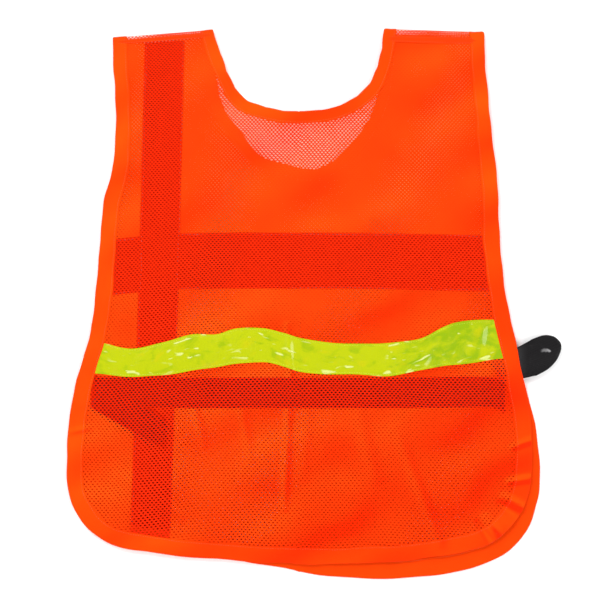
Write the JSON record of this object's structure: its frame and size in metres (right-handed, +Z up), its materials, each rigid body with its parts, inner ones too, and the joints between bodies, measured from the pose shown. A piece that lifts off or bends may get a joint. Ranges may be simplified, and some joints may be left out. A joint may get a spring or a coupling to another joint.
{
  "type": "high visibility vest",
  "caption": "Over-the-head orange net safety vest with bound edges, a lime strip, silver tapes and elastic side loops, lying flat.",
  "frame": {"origin": "centre of the underside of the vest's box, as it lies flat on the floor", "axes": "+X across the vest towards the side with the elastic loop that sticks out, +Y from the hem to the collar, +Z up out of the floor through the back panel"},
  "size_m": [0.6172, 0.69, 0.0128],
  "materials": {
    "net_cloth": "fluorescent orange warp-knitted net, open holes, matt",
    "binding": "fluorescent orange woven tape folded over the edge, matt",
    "orange_thread": "sewing thread",
    "silver_tape": "silver retroreflective tape, satin",
    "grey_thread": "sewing thread",
    "lime_strip": "fluorescent lime embossed film, glossy",
    "lime_thread": "sewing thread",
    "elastic": "black ribbed elastic, matt",
    "black_thread": "sewing thread"
  },
  "bodies": {
    "front_panel": {"front_panel_mesh": "net_cloth", "front_edge_binding": "binding", "front_neck_binding": "binding", "front_edge_binding_stitch": "orange_thread", "front_neck_binding_stitch": "orange_thread", "chest_tape": "silver_tape", "chest_tape_stitch_a": "grey_thread", "chest_tape_stitch_b": "grey_thread", "vertical_tape": "silver_tape", "vertical_tape_stitch_a": "grey_thread", "vertical_tape_stitch_b": "grey_thread", "left_shoulder_fold": "net_cloth", "right_shoulder_fold": "net_cloth", "elastic_belt": "elastic", "right_elastic_loop": "elastic", "right_loop_front_tack": "black_thread", "left_elastic_loop": "elastic", "left_loop_front_tack": "black_thread"},
    "back_panel": {"back_panel_mesh": "net_cloth", "back_edge_binding": "binding", "back_neck_binding": "binding", "back_edge_binding_stitch": "orange_thread", "back_neck_binding_stitch": "orange_thread", "lime_strip": "lime_strip", "lime_strip_stitch_a": "lime_thread", "lime_strip_stitch_b": "lime_thread", "left_shoulder_seam": "binding", "left_shoulder_seam_stitch": "orange_thread", "right_shoulder_seam": "binding", "right_shoulder_seam_stitch": "orange_thread", "right_loop_back_tack": "black_thread", "left_loop_back_tack": "black_thread"}
  },
  "joints": [
    {"name": "shoulder_fold", "type": "hinge", "parent": "front_panel", "child": "back_panel", "pos_m": [0, 0.34169, 0.006], "axis": [-1, 0, 0], "range_deg": [0, 40], "deforming": ["right_elastic_loop", "left_elastic_loop"]}
  ]
}
